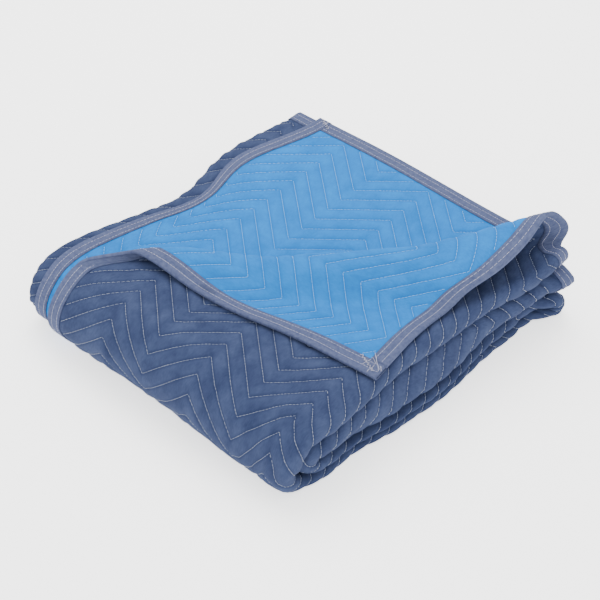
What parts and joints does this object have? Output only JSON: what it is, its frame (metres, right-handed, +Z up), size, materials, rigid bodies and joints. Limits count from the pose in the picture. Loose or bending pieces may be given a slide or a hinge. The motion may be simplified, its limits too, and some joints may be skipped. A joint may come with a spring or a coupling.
{
  "type": "moving blanket",
  "caption": "Folded quilted moving blanket, navy outside and light blue inside, with grey-blue bound edges and the corner of its top layer turned back.",
  "frame": {"origin": "centre of the bounding box in x and y, at the plane it rests on", "axes": "+Z up through the stack of layers; +X towards the four rounded folds at the right side; +Y towards the open back edge, away from the rounded front fold"},
  "size_m": [0.5046, 0.486, 0.1556],
  "materials": {
    "navy_cloth": "matte brushed non-woven polyester, navy blue",
    "blue_cloth": "matte brushed non-woven polyester, light blue",
    "binding_tape": "matte woven polyester tape, grey blue"
  },
  "bodies": {
    "root": {"navy_face": "navy_cloth", "blue_back": "blue_cloth", "binding_top_side": "binding_tape", "binding_inner_side": "binding_tape", "binding_top_end": "binding_tape", "binding_inner_end": "binding_tape"}
  },
  "joints": []
}
